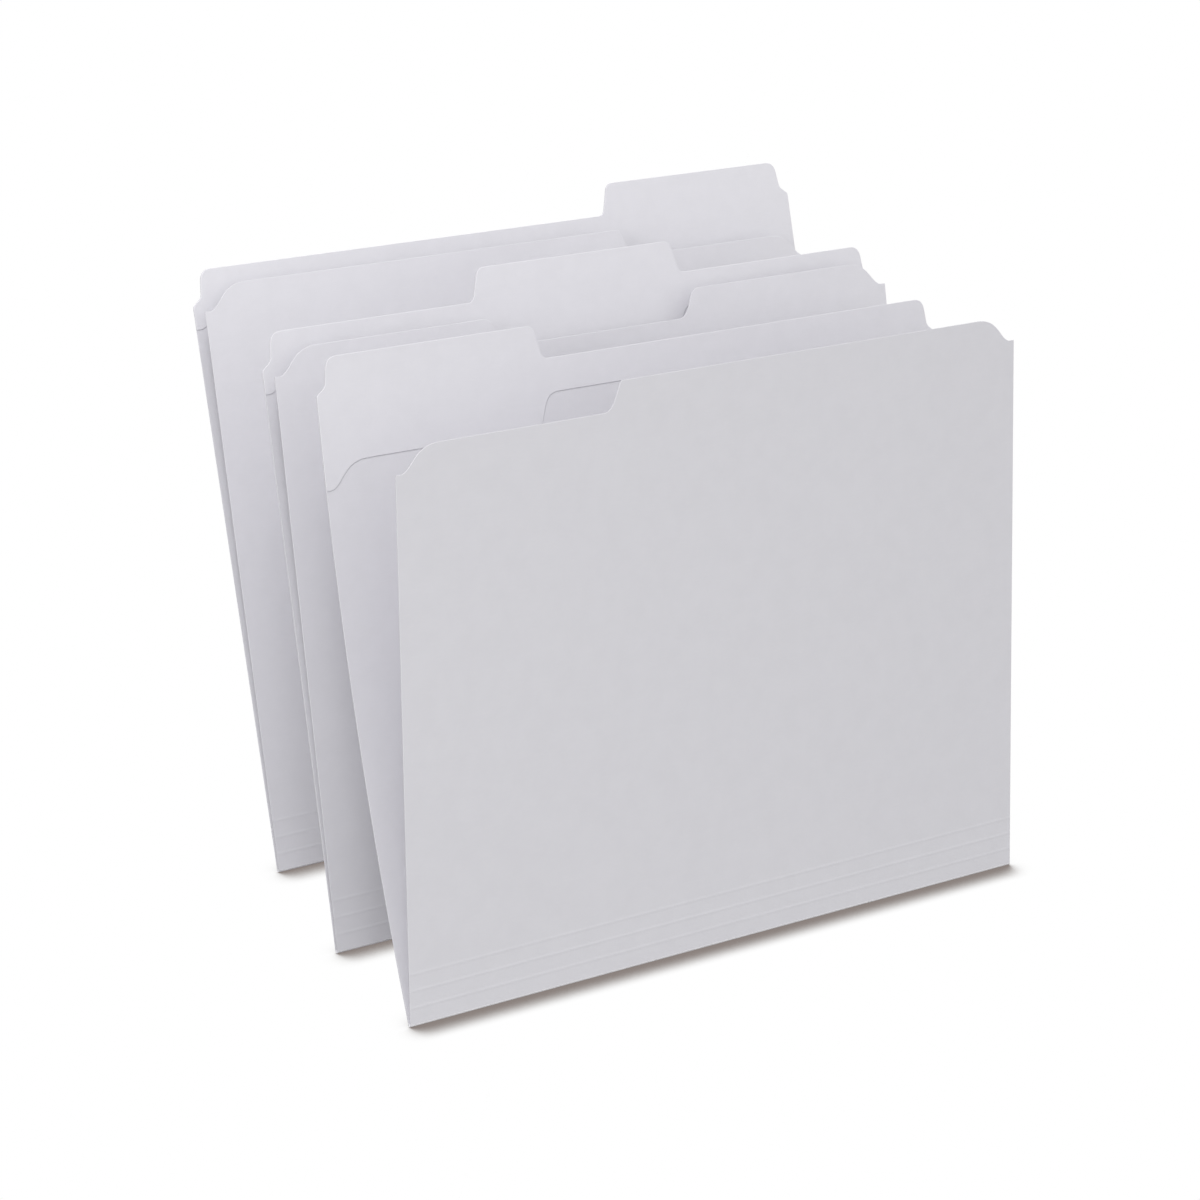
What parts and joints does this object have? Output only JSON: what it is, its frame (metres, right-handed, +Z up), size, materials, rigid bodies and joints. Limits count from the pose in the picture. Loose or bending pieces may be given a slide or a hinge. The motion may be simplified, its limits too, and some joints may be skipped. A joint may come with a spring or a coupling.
{
  "type": "reinforced file folder",
  "caption": "Letter-size paperboard file folders with reinforced tabs at left, centre and right, standing open in a row.",
  "frame": {"origin": "centre of the row's footprint, on the surface the folds stand on", "axes": "+X along the folds, left to right seen from the front; +Y from the front folder to the rear one; +Z up"},
  "size_m": [0.3166, 0.2222, 0.2195],
  "materials": {
    "board": "uncoated, matte"
  },
  "bodies": {
    "front_back": {"front_back_panel": "board", "front_tab_ply": "board", "front_fold": "board"},
    "middle_back": {"middle_back_panel": "board", "middle_tab_ply": "board", "middle_fold": "board"},
    "rear_back": {"rear_back_panel": "board", "rear_tab_ply": "board", "rear_fold": "board"},
    "front_cover": {"front_score_strip_1": "board", "front_score_strip_2": "board", "front_score_strip_3": "board", "front_cover": "board"},
    "middle_cover": {"middle_score_strip_1": "board", "middle_score_strip_2": "board", "middle_score_strip_3": "board", "middle_cover": "board"},
    "rear_cover": {"rear_score_strip_1": "board", "rear_score_strip_2": "board", "rear_score_strip_3": "board", "rear_cover": "board"}
  },
  "joints": [
    {"name": "front_cover_fold", "type": "hinge", "parent": "front_back", "child": "front_cover", "pos_m": [0, -0.11043, 0.00064], "axis": [1, 0, 0], "range_deg": [-11.5, 105]},
    {"name": "middle_cover_fold", "type": "hinge", "parent": "middle_back", "child": "middle_cover", "pos_m": [0, -0.05743, 0.00064], "axis": [1, 0, 0], "range_deg": [-1.7, 8.2]},
    {"name": "rear_cover_fold", "type": "hinge", "parent": "rear_back", "child": "rear_cover", "pos_m": [0, 0.00057, 0.00064], "axis": [1, 0, 0], "range_deg": [-1.7, 13.6]},
    {"name": "front_folder_lift", "type": "slide", "parent": "rear_back", "child": "front_back", "axis": [0, 0, 1], "range_m": [0, 0.25]},
    {"name": "middle_folder_lift", "type": "slide", "parent": "rear_back", "child": "middle_back", "axis": [0, 0.4067, 0.9135], "range_m": [0, 0.25]}
  ]
}
